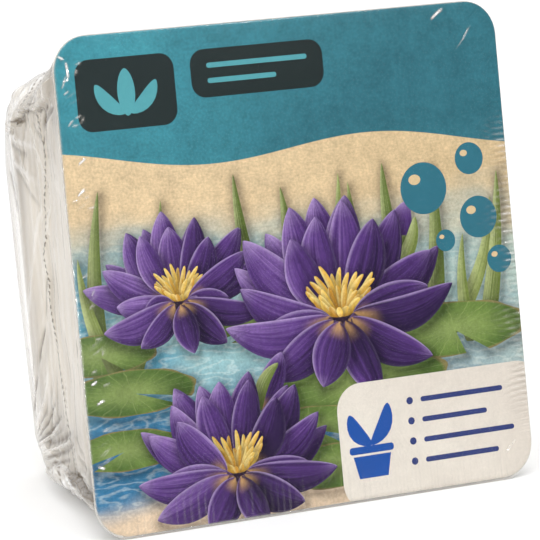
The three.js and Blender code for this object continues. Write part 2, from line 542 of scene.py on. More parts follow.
def cut_face():
    """Cuts the card's face along all outlines: points, triangles and the motif of each."""
    ticks = np.arange(-CARD_HALF + 2, CARD_HALF - 1.5, FACE_STEP)
    grid = np.array([(x + (row % 2) * FACE_STEP / 2, z)
                     for row, z in enumerate(ticks) for x in ticks])
    border = card_border()
    clear = segment_distance(grid, border, np.roll(border, -1, 0)) > FACE_STEP * 0.6
    straight = CARD_HALF - CARD_CORNER
    inside = np.linalg.norm(grid - np.clip(grid, -straight, straight), axis=1) < CARD_CORNER - 1
    outlines = [border] + [motif["outline"] for motif in picture]
    starts = np.cumsum([0] + [len(outline) for outline in outlines])
    loops = [list(range(start, start + len(outline))) for start, outline in zip(starts, outlines)]
    spots = [Vector(spot) for spot in np.vstack([*outlines, grid[clear & inside]]).tolist()]
    points, _, triangles, _, _, sources_of = delaunay_2d_cdt(spots, [], loops, 0, 1e-4)
    points = np.array([tuple(point) for point in points])
    faces = []
    owner = []
    for face, sources in zip(triangles, sources_of):
        if 0 in sources:
            faces.append(face)
            owner.append(max(sources) - 1)
    used, faces = np.unique(np.array(faces), return_inverse=True)
    return points[used], faces.reshape(-1, 3), np.array(owner)


def border_loop(faces):
    """The points round the edge of a sheet of triangles, in order."""
    sides = {(a, b) for face in faces for a, b in zip(face, np.roll(face, -1))}
    following = {a: b for a, b in sides if (b, a) not in sides}
    loop = [next(iter(following))]
    while following[loop[-1]] != loop[0]:
        loop.append(following[loop[-1]])
    return loop


# Inks and carton
# Inks printed on coated carton: all of them are a little mottled, the flat ones least, and
# leaves and petals are veined and shaded. The card's back and cut edge are bare grey carton.
def print_colour(finish, colour, mottle=1.0):
    """Prints a motif in its colour, with its painted shade, as ink on coated carton."""
    cloud = finish.grain(12, detail=4).rise(0.25, 0.75)
    grain = finish.grain(3.6, detail=2).rise(0.3, 0.7) * 0.12 + finish.grain(1.1).rise(0.3, 0.7) * 0.20
    tone = (cloud * 0.18 + grain - 0.25) * mottle + 1
    shaded = (1 - finish.shade * 0.62) * tone
    finish.feed("Base Color", shaded.times(colour))
    finish.bump(finish.grain(0.8, detail=3), 0.014)
    return finish.material


def printed(name):
    """A printed finish, with u, v, shade and tint as kept on the card's face."""
    finish = Finish(name)
    finish.u, finish.v, finish.shade = finish.parts(finish.kept("motif", "Color"))
    finish.tint = finish.kept("motif", "Alpha")
    finish.shader.inputs["Specular IOR Level"].default_value = 0.04
    return finish


def kraft_ink(finish):
    """Bare kraft: fine fibres and dark flecks, a little darker towards the right."""
    fibres = finish.grain(0.55, (5, 1, 1), 4).rise(0.38, 0.72)
    flecks = finish.specks(3.4, 0.16)
    kraft = finish.x.rise(-60, 95).mix((0.73, 0.56, 0.345), (0.64, 0.485, 0.285))
    return (fibres * 0.10 + 0.93 - flecks * 0.12).times(kraft)


def water_ink(finish, swirl, depth):
    """Blue water, deeper in tone at the foot, with pale rings on it and paler at the right."""
    blue = swirl.rise(0.36, 0.62).mix((0.10, 0.34, 0.45), (0.32, 0.53, 0.55))
    blue = depth.rise(-66, -20).mix((0.045, 0.20, 0.37), blue)
    rings = (finish.grain(7, (3.2, 1, 1), 4) * 19 + finish.z * 0.35).sine().size()
    blue = (rings.power(9) * 0.30).mix(blue, (0.80, 0.88, 0.84))
    return (finish.x.rise(-20, 96) * 0.42).mix(blue, (0.60, 0.60, 0.47))


def heading_ink(finish, over):
    """The teal of the heading, deeper at the right and near the heading's waved edge."""
    cloud = finish.grain(34, detail=3).rise(0.3, 0.7)
    teal = cloud.mix((0.046, 0.252, 0.315), (0.064, 0.335, 0.405))
    fading = finish.x.rise(-110, 62) * 0.95 + (1 - over.rise(0, 45)) * 0.2
    return fading.mix(teal, (0.032, 0.152, 0.197))


def make_ground():
    """Teal heading over bare kraft, with blue water below that fades into the kraft."""
    finish = printed("print_ground")
    swirl = finish.grain(26, (2.4, 1, 1), 3)
    depth = (swirl - 0.5) * 46 + finish.z
    ground = depth.rise(-4, 30).mix(water_ink(finish, swirl, depth), kraft_ink(finish))
    sand = (finish.z + (swirl - 0.5) * 22).rise(-92, -78)
    ground = sand.mix((0.78, 0.61, 0.44), ground)
    edge = (finish.x * (1 / HEADING_PITCH)).sine() * HEADING_SWELL
    over = finish.z - (edge + finish.x * HEADING_SLOPE + HEADING_LEFT)
    return print_colour(finish, over.rise(-0.15, 0.15).mix(ground, heading_ink(finish, over)))


def make_petal():
    """Violet lily petal: deep at its root, lighter towards the tip and on its lit side."""
    finish = printed("print_petal")
    veins = finish.streaks(13, 1.1)
    light = finish.tint * 0.55 + finish.u * 0.22 + finish.v * 0.20 + (veins - 0.5) * 0.75
    colour = light.rise(0.0, 0.62).mix((0.022, 0.010, 0.050), (0.098, 0.040, 0.205))
    colour = light.rise(0.42, 1.05).mix(colour, (0.33, 0.20, 0.50))
    rim = finish.v.size().rise(0.80, 1.0) * finish.v.rise(-1.3, 0.6)
    colour = (rim * 0.55).mix(colour, (0.52, 0.40, 0.66))
    tip = finish.u.rise(0.78, 1.0) * light.rise(0.1, 0.9)
    colour = (tip * 0.5).mix(colour, (0.50, 0.38, 0.64))
    heart = (1 - finish.v.size().rise(0.1, 0.9)) * (1 - finish.u.rise(0.04, 0.30))
    return print_colour(finish, (heart * 0.8).mix(colour, (0.62, 0.36, 0.14)))


def make_leaf(name, dark, light, pale, count):
    """A reed or stamen with fine veins along it, a pale lit side and a darker foot."""
    finish = printed(name)
    veins = finish.streaks(count, 0.8)
    colour = finish.tint.mix(dark, light)
    lit = finish.v * 0.5 + finish.tint * 0.3 + (veins - 0.5) * 1.3
    colour = (lit.rise(-0.35, 0.85) * 0.75).mix(colour, pale)
    rib = 1 - finish.v.size().rise(0.02, 0.12)
    colour = (rib * 0.3).mix(colour, dark)
    foot = 1 - finish.u.rise(0.0, 0.5)
    return print_colour(finish, (foot * 0.6).mix(colour, dark))


def make_pad_print():
    """A floating lily pad: veins from its heart, a paler middle and a brown-red rim."""
    finish = printed("print_pad")
    out = (finish.u * finish.u + finish.v * finish.v).power(0.5)
    turn = finish.v.reckon("ARCTAN2", finish.v, finish.u)
    veins = (turn * 11 + finish.grain(6) * 2).sine().size()
    cloud = finish.grain(11, (2, 1, 1), 3).rise(0.3, 0.7)
    colour = (cloud * 0.6 + finish.tint * 0.4).mix((0.05, 0.105, 0.022), (0.17, 0.26, 0.06))
    colour = ((1 - out.rise(0.0, 0.9)) * 0.6).mix(colour, (0.30, 0.38, 0.13))
    colour = ((1 - veins.rise(0.0, 0.16)) * 0.35).mix(colour, (0.38, 0.45, 0.18))
    return print_colour(finish, (out.rise(0.92, 0.99) * 0.7).mix(colour, (0.27, 0.19, 0.09)))


def make_flat_ink(name, colour, other):
    """An even ink that drifts slightly from one tone to another towards the upper right."""
    finish = printed(name)
    cloud = finish.grain(30, detail=3).rise(0.3, 0.7)
    drift = (finish.x + finish.z).rise(-60, 60) * 0.7 + cloud * 0.3
    return print_colour(finish, drift.mix(colour, other), 0.3)


def make_board(name, pale, dark):
    """Bare grey carton, for the card's back and its cut edge."""
    finish = Finish(name, 0.8)
    finish.feed("Base Color", finish.grain(0.5, detail=4).mix(dark, pale))
    finish.bump(finish.grain(0.35, detail=3), 0.03)
    return finish.material


FLAT_INKS = {
    "plate": ((0.018, 0.030, 0.031), (0.013, 0.023, 0.024)),
    "teal": ((0.034, 0.172, 0.232), (0.030, 0.155, 0.215)),
    "pale_teal": ((0.10, 0.38, 0.42), (0.09, 0.35, 0.40)),
    "kraft": ((0.70, 0.54, 0.32), (0.66, 0.50, 0.29)),
    "panel": ((0.795, 0.74, 0.665), (0.66, 0.595, 0.53)),
    "blue": ((0.018, 0.09, 0.38), (0.015, 0.08, 0.35)),
    "navy": ((0.040, 0.058, 0.195), (0.035, 0.05, 0.175)),
}
INKS = {
    "ground": make_ground(),
    "petal": make_petal(),
    "stamen": make_leaf("print_stamen", (0.55, 0.24, 0.02), (0.94, 0.60, 0.09),
                        (0.98, 0.83, 0.36), 4),
    "reed": make_leaf("print_reed", (0.075, 0.115, 0.022), (0.25, 0.31, 0.075),
                      (0.50, 0.55, 0.27), 11),
    "pad": make_pad_print(),
    **{ink: make_flat_ink("print_" + ink, *tones) for ink, tones in FLAT_INKS.items()},
    "back": make_board("board_back", (0.47, 0.44, 0.39), (0.36, 0.33, 0.29)),
    "edge": make_board("board_edge", (0.50, 0.49, 0.44), (0.36, 0.36, 0.33)),
}


def skin_rings(rings):
    """Faces between rings of equal length, given as arrays of point numbers, front ring first."""
    faces = []
    for ring, following in itertools.pairwise(rings):
        faces += np.column_stack([ring, following, np.roll(following, -1), np.roll(ring, -1)]).tolist()
    return faces


def motif_values(points, faces, owner):
    """What each corner of the face keeps: u and v in its motif, painted shade, and tint."""
    corners = faces.ravel()
    corner_owner = np.repeat(owner, 3)
    values = np.zeros((len(corners), 4))
    for number in np.unique(corner_owner[corner_owner >= 0]):
        mine = corner_owner == number
        values[np.ix_(mine, (0, 1, 3))] = picture[number]["measure"](points[corners[mine]])
    values[:, 2] = painted_shade(points, corners, corner_owner)
    return values


def make_card():
    """The whole card: its printed face, its cut edge and its grey back."""
    points, faces, owner = cut_face()
    ink_order = list(INKS)
    ink_of = np.array([ink_order.index(motif["ink"]) for motif in picture] + [0])
    spots = np.insert(points, 1, 0, axis=1)
    loop = border_loop(faces)
    rim = points[loop]
    outward = rounded_square_normal(rim, CARD_HALF - CARD_CORNER)
    rings = [np.array(loop)]
    for grow, y in ((CARD_EDGE, CARD_EDGE), (CARD_EDGE, CARD_THICK - CARD_EDGE), (0, CARD_THICK)):
        rings.append(len(spots) + np.arange(len(rim)))
        spots = np.vstack([spots, np.insert(rim + outward * grow, 1, y, axis=1)])
    edge = skin_rings(rings)
    back = rings[-1][::-1].tolist()
    finish_of = [*ink_of[owner], *[ink_order.index("edge")] * len(edge), ink_order.index("back")]
    card = make_piece("printed_card", spots, [*faces.tolist(), *edge, back],
                      list(INKS.values()), finish_of)
    values = np.zeros((len(card.data.loops), 4))
    values[:faces.size] = motif_values(points, faces, owner)
    keep(card.data, "motif", "FLOAT_COLOR", values, "CORNER")
    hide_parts("card")
    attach(card, "root")


make_card()

# Tub
# The planting tub behind the card: thin off-white polypropylene, moulded in one piece, with
# a turned-out rim that the card closes, four tapered sides and a recessed base.
RIM_HALF = 95.5
RIM_CORNER = 23.0
RIM_LIP = 3.3
RIM_DROP = 4.0
RIM_ROUND = 0.5
TUB_WALL = 1.3
TUB_FACE = 1.1
BASE_HALF = 79.0
BASE_CORNER = 18.0
BASE_EDGE = 2.5
BASE_EDGE_STEPS = 5
BASE_FOOT = 7.0
BASE_RECESS = 1.2
FOOT_ROUND_WIDE = 0.3
FOOT_ROUND_DEEP = 0.2
TUB_BACK = 99.6
TUB_CORNER_STEPS = 12


def make_tub_plastic():
    """Off-white plastic, faintly cloudy, with the fine marks of the mould along its walls."""
    finish = Finish("moulded_white")
    cloud = finish.grain(40, detail=3).rise(0.25, 0.75)
    finish.feed("Base Color", cloud.mix((0.69, 0.615, 0.505), (0.735, 0.66, 0.555)))
    finish.feed("Roughness", finish.grain(6, (1, 4, 1)) * 0.16 + 0.34)
    finish.bump(finish.grain(1.6, (1, 6, 1), 3), 0.03)
    return finish.material


def make_tub():
    """The tub as one skin, from its base outside round the rim to its base inside."""
    base = np.array((BASE_HALF, BASE_CORNER))
    rim = np.array((RIM_HALF, RIM_CORNER))
    foot = base - BASE_EDGE - BASE_FOOT
    floor = TUB_BACK - BASE_RECESS - TUB_WALL
    profile = [(foot, TUB_BACK - BASE_RECESS),
               (foot + BASE_RECESS, TUB_BACK - FOOT_ROUND_DEEP),
               (foot + BASE_RECESS + FOOT_ROUND_WIDE, TUB_BACK)]
    for turn in np.radians(np.linspace(90, 0, BASE_EDGE_STEPS)):
        profile.append((base - BASE_EDGE + BASE_EDGE * math.cos(turn),
                        TUB_BACK - BASE_EDGE + BASE_EDGE * math.sin(turn)))
    profile += [(rim - RIM_LIP, TUB_FACE + RIM_DROP),
                (rim - RIM_ROUND, TUB_FACE + RIM_DROP),
                (rim, TUB_FACE + RIM_DROP - RIM_ROUND),
                (rim, TUB_FACE + RIM_ROUND),
                (rim - RIM_ROUND, TUB_FACE),
                (rim - RIM_LIP - TUB_WALL + RIM_ROUND, TUB_FACE),
                (rim - RIM_LIP - TUB_WALL, TUB_FACE + RIM_ROUND),
                (base - TUB_WALL, floor - BASE_EDGE),
                (base - TUB_WALL - BASE_EDGE, floor)]
    spots = []
    rings = []
    for (half, corner), y in profile:
        ring = rounded_outline(half, half, corner, TUB_CORNER_STEPS)
        rings.append(len(spots) + np.arange(len(ring)))
        spots += np.insert(ring, 1, y, axis=1).tolist()
    faces = skin_rings(rings[::-1])
    faces += [rings[0][::-1].tolist(), rings[-1].tolist()]
    tub = make_piece("planting_tub", spots, faces, [make_tub_plastic()])
    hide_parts("tub")
    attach(tub, "root")


make_tub()

# Shrink film
# Clear film, shrunk tight in warm air round card and tub. A perforated weld runs over the
# top, the left side and the underside; at the four corners the spare film is drawn into a
# bunch of pleats, and creases fan out from there over the sides. On the left and right it
# stands a little off the tub towards the base. On the card it lies flat, with fine ripples
# all round where it turns the edge.
FILM_FRONT = -0.35
FILM_EDGE = 0.3
FILM_BACK = 100.0
FILM_HALF = 97.8
FILM_TAPER = math.tan(LEAN)
FILM_CORNER = (14.3, 18.5)
FILM_BACK_ROUND = 3.0
FILM_LOW_GAP = 0.7
SIDE_COLUMNS = (48, 80, 200, 40)
CORNER_COLUMNS = (26, 44, 48, 24)
FILM_ROWS = 108
BUNCH_HEIGHT = 6.0
BUNCH_DEPTH = 70.0
BUNCH_REACH = 20.0
UPPER_TUCK = (4.3, 36.0, 26.0)
LOWER_TUCK = (2.0, 15.0, 18.0)
HEM_HEIGHT = 2.1
SIDE_DRAW_IN = 1.0
SIDE_STAND_OFF = 2.8
FREE_HEIGHTS = (-80, -60, 0, 48, 58, 68, 80)
FREE_SHARES = (0.3, 0.45, 0.9, 1, 0.7, 0.35, 0.25)
UNDER_SAG = 0.6
WAVE_COUNT = 7
CREASE_BOW = 0.12
CORNER_REACH = 48
FAR_FROM_WELD = 50.0
# Kept at each point of the film: how milky it is, with its painted highlights, and how deep it lies in
# painted shade, how far it is from the weld, and the way, place and strength of the creases that fan
# out there.
KEPT_VALUES = 6
# For each side of the card's face: the ripples' pitch, the strength of their painted highlight and
# painted shade, and their height.
RIPPLE_PITCHES = (2.45, 2.6, 3.3, 2.9)
RIPPLE_HIGHLIGHT_AND_SHADE = ((0.42, 0.34), (0.05, 0.03), (0.36, 0.05), (0.12, 0.06))
RIPPLE_HEIGHTS = (0.11, 0.05, 0.05, 0.03)
FRONT_COLUMNS = (240, 240, 300, 240)
FRONT_CORNER_COLUMNS = (30, 30, 30, 30)
FRONT_INSETS = (0, 0.4, 0.9, 1.4, 2, 2.6, 3.2, 3.8, 4.3, 4.8, 5.3, 5.8, 6.3, 6.8, 7.3, 7.9, 8.6,
                9.4, 10.4, 11.6, 13, 15, 19, 26, 38, 55, 75, 92, 97)
BACK_SHARES = (0.97, 0.93, 0.88, 0.8, 0.65, 0.45, 0.2, 0.03)
BASE_FILM = (0.08, 0, FAR_FROM_WELD, 0, 0, 0)
CARD_FILM = (0.004, 0, FAR_FROM_WELD, 0, 0, 0)
# Each painted glint on the film over the card, drawn as a milky stroke: start, end and strength.
CARD_GLINTS = (((-95.2, 90.3), (-93.0, 88.6), 0.9), ((-92.2, 88.0), (-91.9, 81.0), 1.3),
               ((-92.8, 82.6), (-95.0, 77.5), 0.45), ((68.0, 91.2), (74.0, 95.4), 1.3),
               ((81.0, 80.5), (86.0, 87.5), 0.30), ((-91.0, 48.0), (-87.6, 50.4), 1.3),
               ((-92.6, 36.0), (-89.0, 38.6), 1.3), ((-94.6, -37.0), (-91.8, -35.8), 1.2),
               ((-93.0, -44.8), (-89.4, -43.4), 1.0), ((-94.8, -68.8), (-92.0, -69.8), 1.3),
               ((-93.6, 63.0), (-91.2, 65.6), 0.5), ((84.5, -88.0), (90.5, -82.0), 0.4))
RIGHT, TOP, LEFT, UNDER = range(4)
SIDE_WAYS = ((1, 0), (0, 1), (-1, 0), (0, -1))
SIDE_ENDS = ((1, -1), (-1, 1), (-1, 1), (1, -1))
FAN_HEART = (60, 84)
FAN_HEARTS_LEFT = {1: (22, 96), -1: (102, 72)}
SEAM_LEFT = ((-97, 47), (-90, 45), (-73, 27), (-64, 33), (-47, 36), (-26, 43), (-5, 47), (2, 45),
             (12, 50), (19, 42), (32, 40), (52, 29), (62, 33), (90, 45), (97, 47))
CREASES_LEFT = (((4, 72), (31, 61), -0.9, 2.3), ((14, 73), (32, 62), -0.6, 1.8),
                ((2, 74), (32, 60), 0.5, 1.2), ((50, 66), (30, 57), -0.35, 1.4),
                ((88, 61), (35, 56), 0.5, 2.2), ((87, 58), (57, 52), -0.35, 1.8),
                ((90, 54), (40, 40), 0.4, 2.4), ((84, 50), (44, 30), -0.3, 1.6),
                ((92, 48), (83, 25), -0.4, 2.4), ((43, 34), (69, 6), 0.5, 3.0),
                ((29, 34), (47, 14), 0.45, 2.0), ((48, 6), (60, -16), -0.5, 1.6),
                ((60, -16), (81, -37), -0.6, 1.8), ((81, -37), (98, -58), -0.6, 1.8),
                ((66, 10), (92, -30), 0.4, 3.0), ((5, -18), (6, -28), -0.5, 0.8),
                ((96, -66), (49, -43), -0.7, 1.1), ((96, -67), (42, -49), -0.85, 1.2),
                ((96, -64), (66, -46), -0.5, 0.9), ((93, -68), (40, -54), -0.35, 1.0),
                ((97, -63), (58, -34), 0.5, 2.0), ((96, -68), (47, -54), 0.5, 1.4),
                ((80, -66), (24, -55), -0.6, 2.0), ((78, -71), (24, -60), -0.55, 1.7),
                ((84, -69), (30, -59), 0.6, 1.0),
                ((70, -72), (34, -68), -0.45, 1.2), ((25, -58), (8, -66), -0.3, 1.2),
                ((24, -66), (4, -70), -0.4, 1.2), ((22, -72), (3, -75), 0.5, 1.2),
                ((-8, -84), (42, -74), -1.3, 3.6), ((46, -74), (18, -78), -0.7, 1.8),
                ((4, -79), (22, -75), 0.9, 0.8), ((30, -80), (48, -77), 0.8, 0.9),
                ((28, 61), (33, 50), -0.6, 1.2), ((26, 64), (22, 74), -0.5, 1.4),
                ((8, 69), (22, 62), 0.7, 1.0), ((78, 66), (60, 67), -0.6, 1.3))
HEMS_LEFT = {1: ((0, 79), (12, 74), (29, 69.5), (54, 70), (74, 66), (90, 60), (100, 60)),
             -1: ((0, 81), (12, 79), (30, 75), (52, 72), (74, 74), (90, 76), (100, 78))}
crumple = np.random.default_rng(5)


def film_half(y):
    return FILM_HALF - y * FILM_TAPER


def film_corner(y):
    return np.interp(y, (0, FILM_BACK), FILM_CORNER)


def film_ring(y, side_columns, corner_columns):
    """One ring of the plain film at depth y, anticlockwise from the foot of the right side.

    It gives the points, their outward normals, their side, how far round the outline each
    lies from the middle of that side, and its turn round the corner.
    """
    half = film_half(y)
    corner = film_corner(y)
    straight = half - corner
    spots = []
    normals = []
    extras = []
    for side, (columns, corner_steps) in enumerate(zip(side_columns, corner_columns)):
        around = np.linspace(0, math.pi / 2, corner_steps + 1)
        share = np.linspace(-1, 1, columns + 1)[1:-1]
        run = straight * share * (1.3 - 0.3 * share ** 2)
        turn = np.concatenate([np.zeros(len(run)), around])
        reach = np.concatenate([run, straight + corner * around])
        level = np.concatenate([run, np.full(len(around), straight)])
        facing = np.column_stack([np.cos(turn), np.sin(turn)])
        local = np.column_stack([np.full(len(turn), straight), level]) + corner * facing
        spots.append(quarter_turned(local, side))
        normals.append(quarter_turned(facing, side))
        extras.append(np.column_stack([np.full(len(turn), side), reach, turn]))
    return np.vstack(spots), np.vstack(normals), np.vstack(extras)


def waves(spots, pitch, stretch=1.0):
    """A smooth random swell, mostly between -1 and 1, about pitch from crest to crest.

    It is longer by stretch along the first axis of the flat points.
    """
    total = np.zeros(len(spots))
    for _ in range(WAVE_COUNT):
        way = crumple.uniform(0, 2 * math.pi)
        length = pitch * crumple.uniform(0.7, 1.4)
        across = spots[:, 0] * math.cos(way) / stretch + spots[:, 1] * math.sin(way)
        total += np.sin(across * 2 * math.pi / length + crumple.uniform(0, 2 * math.pi))
    return total / math.sqrt(WAVE_COUNT)


def soft_step(values, low, high):
    """0 below low and 1 above high, with a smooth rise between them."""
    share = np.clip((values - low) / (high - low), 0, 1)
    return share * share * (3 - 2 * share)


def bell(values, width):
    return np.exp(-(values / width) ** 2)


def crease(spots, start, end, width):
    """A soft ridge along a slightly bowed segment on flat points, pointed at both ends."""
    start = np.asarray(start, float)
    run = np.asarray(end, float) - start
    length = math.hypot(*run)
    share = ((spots - start) @ run) / length ** 2
    aside = (spots - start) @ np.array((-run[1], run[0])) / length
    bow = CREASE_BOW * length * share * (1 - share)
    taper = soft_step(share, -0.05, 0.2) * (1 - soft_step(share, 0.65, 1.05))
    return bell(aside - bow, width * (0.55 + 0.45 * np.clip(share, 0, 1))) * taper


def side_folds(side, spots):
    """One side's folds, from depth and run: stand-off, milkiness with painted highlights, and painted
    shade of its film.
    """
    upright = spots[:, ::-1]
    bands = waves(upright, 9, 7)
    lift = 0.30 * waves(spots, 34, 1.6) + 0.16 * bands + 0.10 * waves(upright, 12, 2)
    # Paler in some upright bands and towards the foot; painted shade in other upright bands and
    # towards the top.
    milk_and_highlight = 0.04 + 0.09 * soft_step(bands, -0.2, 1.2) + 0.12 * soft_step(-spots[:, 1], 12, 48)
    dark = 0.10 * soft_step(waves(upright, 7, 8), 0.5, 1.6) + 0.06 * soft_step(spots[:, 1], 30, 56)
    for start, stop, height, width in side_creases(side):
        ridge = crease(spots, start, stop, width)
        lift += 1.1 * height * ridge
        # Crease ridges get a painted highlight and crease valleys painted shade.
        milk_and_highlight += 0.5 * max(height, 0) * ridge
        dark += 1.45 * max(-height, 0) * ridge ** 1.6
    depth = spots[:, 0]
    fade = soft_step(depth, 1.0, 8.0) * (1 - soft_step(depth, 90, 98))
    return lift * fade, milk_and_highlight * soft_step(depth, 0, 8), dark * soft_step(depth, 0, 3)


def side_creases(side):
    """One side's creases: those that can be told apart, some from each bunch, and short ones."""
    creases = list(CREASES_LEFT) if side == LEFT else []
    for end in (-1, 1):
        for _ in range(5 if side == LEFT else 16):
            start = (crumple.uniform(38, 94), end * crumple.uniform(62, 72))
            reach = crumple.uniform(16, 50)
            way = crumple.uniform(-0.9, 0.5)
            stop = (start[0] + reach * math.sin(way), start[1] - end * reach * math.cos(way))
            height = crumple.uniform(0.15, 0.5) * crumple.choice((-1, 1))
            creases.append((start, stop, height, crumple.uniform(1.0, 2.4)))
    for _ in range(44):
        middle = np.array((crumple.uniform(4, 96), crumple.uniform(-85, 85)))
        way = crumple.normal(0.25, 0.45)
        reach = crumple.uniform(3, 14)
        half = 0.5 * reach * np.array((-math.sin(way), math.cos(way)))
        height = crumple.uniform(-0.2, 0.25)
        creases.append((middle - half, middle + half, height, crumple.uniform(0.5, 1.0)))
    return creases


def seam_depth(side, run):
    """The depth at which the weld crosses a side, at some run along it."""
    if side == LEFT:
        return np.interp(run, *zip(*SEAM_LEFT))
    return 47 + 3.0 * np.sin(run / 17) + 1.6 * np.sin(run / 7.3 + 1)


def hem_place(side, end, depth):
    """How far from the middle of a side its gathered film begins, at one end of the side."""
    if side == LEFT:
        return np.interp(depth, *zip(*HEMS_LEFT[end]))
    return 73 - depth * 0.07 + 2.2 * np.sin(depth / 8 + 2 * side + end)


def gather(corner, depth, arc, middle, turn, sideways):
    """The film drawn together round one corner: stand-off, milkiness, and painted shade along the hem
    and in the folds.

    arc runs from the corner's diagonal, and middle is how far that is from the sides'
    middles. Just behind the card the film is tucked in towards the tub; further back its
    spare width stands out sideways in a bunch.
    """
    after = (corner + 1) % 4
    hem_before = hem_place(corner, SIDE_ENDS[corner][0], depth)
    hem_after = hem_place(after, SIDE_ENDS[after][1], depth)
    spots = np.column_stack([depth, arc])
    over = middle - np.abs(arc) - np.where(arc < 0, hem_before, hem_after) + 0.5 * waves(spots, 7)
    long_fade = soft_step(depth, 2, 14) * (1 - soft_step(depth, 80, 96))
    inside = soft_step(over, -0.2, 1.3) * long_fade
    folds = waves(spots, 8.5, 2.2)
    crumbs = waves(spots, 4.2, 1.3)
    net = np.clip(1 - np.abs(waves(spots, 9, 1.8)) * 3.2, 0, 1)
    fold_shade = np.clip(1 - np.abs(folds + 0.35) * 6, 0, 1)
    patches = soft_step(waves(spots, 24, 1.4), -0.7, 0.9)
    rounding = np.clip(np.sin(2 * turn), 0, 1)
    tuck, tuck_depth, tuck_reach = UPPER_TUCK if corner in (RIGHT, TOP) else LOWER_TUCK
    lift = BUNCH_HEIGHT * bell(depth - BUNCH_DEPTH, BUNCH_REACH) * rounding * sideways ** 3
    lift -= tuck * bell(depth - tuck_depth, tuck_reach) * rounding ** 0.6
    hem = soft_step(over, -0.2, 1.3) + 0.45 * bell(over - 1.6, 1.5)
    freely = 0.3 + 0.7 * sideways
    lift += HEM_HEIGHT * long_fade * hem * (1 - 0.85 * rounding) * freely
    lift += inside * (0.74 * folds + 0.30 * crumbs + 0.30 * net) * (1 - 0.4 * rounding) * freely
    milk_and_highlight = inside * (0.22 + 0.12 * net + 0.22 * soft_step(crumbs, 0, 1.4) + 0.22 * rounding)
    # Painted shade in the crevice under the hem and in the valleys of the folds.
    dark = long_fade * bell(over + 0.3, 0.6) * (0.15 + 0.7 * soft_step(waves(spots, 12), -0.3, 0.7))
    dark += inside * (0.85 * fold_shade + 0.10) * patches * (1 - 0.6 * rounding)
    return lift, milk_and_highlight, dark


def fan_rays(depth, flat):
    """Where each point lies among the fine creases that fan out from the nearest bunch.

    It gives the ray's direction, how far along it the point lies, and how strong it is there.
    """
    upright = np.abs(flat[:, 0]) > np.abs(flat[:, 1])
    run = np.where(upright, flat[:, 1], flat[:, 0])
    heart = np.tile(np.array(FAN_HEART, float), (len(flat), 1))
    for end, place in FAN_HEARTS_LEFT.items():
        heart[upright & (flat[:, 0] < 0) & (run * end > 0)] = place
    along = heart[:, 1] - np.abs(run)
    aside = depth - heart[:, 0]
    reach = np.hypot(along, aside)
    straight = film_half(depth) - film_corner(depth)
    strength = soft_step(reach, 10, 20) * (1 - soft_step(reach, 28, 62)) * soft_step(depth, 3, 14)
    strength *= 1 - soft_step(np.abs(run), straight - 8, straight)
    way = np.arctan2(aside, along) + 7 * np.sign(run)
    return np.column_stack([way, reach, strength])


def make_film_plastic():
    """Clear glossy film: creased in fans, milky and crumpled where it is bunched, with painted shade
    in its creases and hollows, painted highlights on its ridges, and a brown perforated line at the
    weld."""
    finish = Finish("clear_shrink_film", 0.6)
    clear = add_node(finish.tree, "BsdfTransparent", (0.985, 0.985, 0.98, 1))
    gloss = add_node(finish.tree, "BsdfAnisotropic", None, 0.10)
    grazing = work_out(finish.tree, "LayerWeight", 0.5, output="Facing")
    # The kept milkiness also holds painted highlights; the kept darkness is painted shade in creases,
    # hollows and ripple troughs.
    milk_and_highlight = finish.kept("milk_and_highlight", "Fac")
    dark = finish.kept("dark", "Fac")
    seam = finish.kept("seam", "Fac")
    way, reach, strength = finish.parts(finish.kept("fan", "Vector"))
    rays = finish.unevenness(finish.vector(way, reach, 0), (21, 1 / 34, 1), 1)
    bunched = milk_and_highlight.rise(0.12, 0.34)
    puckers = finish.grain(4.6, (1, 1.8, 1), 2).crest(0.5, 0.2)
    height = rays * strength * 0.4 + puckers * bunched * 0.16
    finish.bump(height + finish.grain(2.6, detail=3) * 0.012, 1.0, gloss)
    dashes = ((finish.x + finish.z) * 2.3).sine().rise(-0.6, 0.1)
    weld = (1 - seam.size().rise(0.45, 1.2)) * dashes
    # Painted shade along the fan's creases, and painted highlights between them.
    lines = rays.rise(0.60, 0.70) * strength * 0.6
    highlight_lines = (1 - rays).rise(0.60, 0.72) * strength * 0.4
    # Painted shade and the brown of the weld are laid on together as one dark cover.
    shade_and_weld = dark.most(weld * 0.8).most(lines)
    haze_and_highlight = milk_and_highlight.most(highlight_lines)
    cover = haze_and_highlight + shade_and_weld - haze_and_highlight * shade_and_weld
    brown = shade_and_weld.reckon("DIVIDE", shade_and_weld, cover + 0.001)
    # Where the film is milkiest its colour goes to pure white, so the painted glints show white.
    highlight_cream = haze_and_highlight.rise(0.5, 0.85).mix((0.88, 0.83, 0.76), (1, 1, 1))
    finish.feed("Base Color", brown.mix(highlight_cream, (0.12, 0.088, 0.055)))
    finish.shader.inputs["Specular IOR Level"].default_value = 0
    sheet = finish.blend(cover, clear, finish.shader)
    sheen = grazing.power(4.2) * 0.7 + bunched * 0.14 + 0.05
    whole = finish.blend(sheen, sheet, gloss)
    end = finish.tree.nodes["Material Output"]
    finish.tree.links.new(whole.outputs[0], end.inputs["Surface"])
    return finish.material


def edge_highlight(facing):
    """The painted highlight where the film turns round the card's edge, laid on as milkiness: most on
    the left and below.
    """
    return 0.06 + 0.34 * np.clip(-facing[:, 0], 0, 1) ** 2 + 0.45 * np.clip(-facing[:, 1], 0, 1) ** 2


